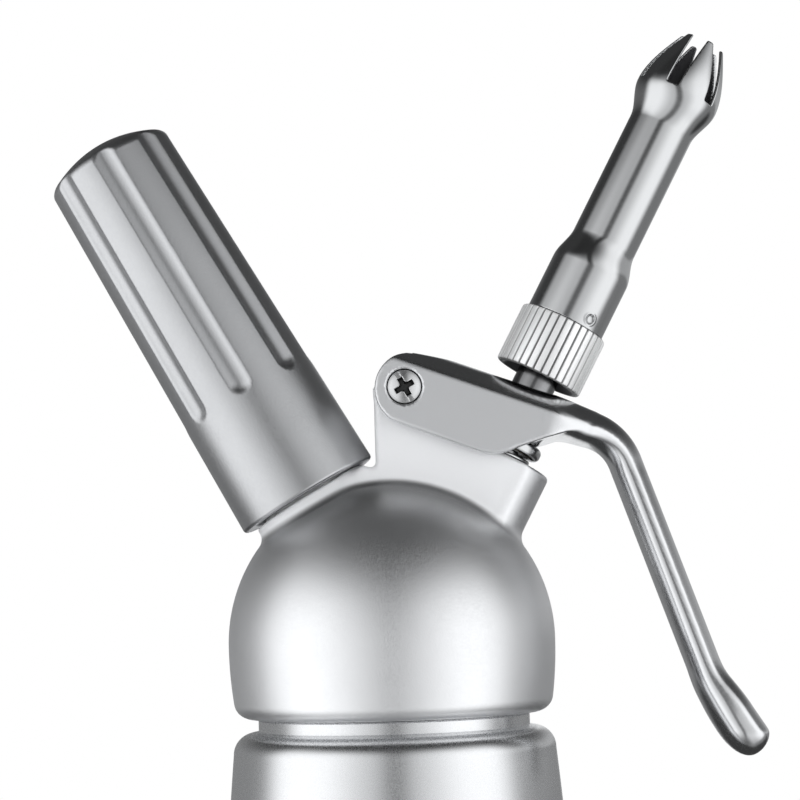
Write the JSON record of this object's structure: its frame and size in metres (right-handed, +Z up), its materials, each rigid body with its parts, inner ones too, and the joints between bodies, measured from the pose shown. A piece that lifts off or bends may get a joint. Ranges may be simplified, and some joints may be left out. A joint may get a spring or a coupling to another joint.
{
  "type": "whipped cream dispenser",
  "caption": "Hand-held pressure dispenser: bottle with a screw-on domed valve head, leaning gas charger holder, squeeze lever and star nozzle.",
  "frame": {"origin": "centre of the bottle's flat base", "axes": "+Z up along the bottle's axis; the lever and nozzle lean towards +X, the charger holder towards -X; the pivot screw's head faces -Y"},
  "size_m": [0.1482, 0.078, 0.3324],
  "materials": {
    "satin_aluminium": "bead-blasted, satin",
    "polished_aluminium": "polished",
    "bright_steel": "polished",
    "insert_brass": "turned",
    "seal_rubber": "smooth",
    "grey_plastic": "moulded"
  },
  "bodies": {
    "bottle": {"bottle": "satin_aluminium"},
    "gasket": {"head_gasket": "seal_rubber"},
    "head": {"head": "satin_aluminium", "charger_valve_body": "insert_brass", "piercing_pin": "bright_steel", "pin_seal": "seal_rubber", "non_return_sleeve": "seal_rubber", "stem_bush": "insert_brass", "return_spring": "bright_steel", "pivot_nut": "bright_steel", "pivot_screw": "bright_steel", "pivot_washers": "grey_plastic"},
    "charger": {"gas_charger": "bright_steel", "charger_sleeve": "grey_plastic"},
    "holder": {"charger_holder": "satin_aluminium"},
    "lever": {"lever": "polished_aluminium"},
    "valve": {"valve_stem": "bright_steel", "stem_o_rings": "seal_rubber", "valve_seal": "seal_rubber", "valve_nut": "bright_steel", "push_ring": "bright_steel"},
    "nozzle_washer": {"nozzle_seal": "seal_rubber"},
    "nozzle": {"nozzle_collar": "bright_steel", "nozzle_insert": "grey_plastic", "nozzle_tube": "bright_steel"}
  },
  "joints": [
    {"name": "head_lift", "type": "slide", "parent": "bottle", "child": "gasket", "axis": [0, 0, 1], "range_m": [0, 0.006]},
    {"name": "head_turn", "type": "hinge", "parent": "gasket", "child": "head", "pos_m": [0, 0, 0.187], "axis": [0, 0, 1], "range_deg": [0, 735]},
    {"name": "holder_lift", "type": "slide", "parent": "head", "child": "charger", "axis": [-0.4924, 0, 0.8704], "range_m": [0, 0.006]},
    {"name": "holder_turn", "type": "hinge", "parent": "charger", "child": "holder", "pos_m": [0.0009, 0, 0.2024], "axis": [-0.4924, 0, 0.8704], "range_deg": [0, 1100]},
    {"name": "lever_squeeze", "type": "hinge", "parent": "head", "child": "lever", "pos_m": [0.0042, 0, 0.2555], "axis": [0, 1, 0], "range_deg": [0, 7.1]},
    {"name": "valve_press", "type": "slide", "parent": "head", "child": "valve", "axis": [-0.4726, 0, -0.8813], "range_m": [0, 0.00295], "stiffness_N_per_m": 1000, "springref_m": -0.003, "deforming": ["return_spring"]},
    {"name": "nozzle_lift", "type": "slide", "parent": "valve", "child": "nozzle_washer", "axis": [0.4726, 0, 0.8813], "range_m": [0, 0.005]},
    {"name": "nozzle_turn", "type": "hinge", "parent": "nozzle_washer", "child": "nozzle", "pos_m": [0.0032, 0, 0.2024], "axis": [0.4726, 0, 0.8813], "range_deg": [0, 1465]}
  ],
  "couplings": [
    {"joint": "head_turn", "follows": "head_lift", "rad_per_m": 2094.4},
    {"joint": "holder_turn", "follows": "holder_lift", "rad_per_m": 3141.6},
    {"joint": "lever_squeeze", "follows": "valve_press", "rad_per_m": 41.322},
    {"joint": "nozzle_turn", "follows": "nozzle_lift", "rad_per_m": 5026.5}
  ]
}
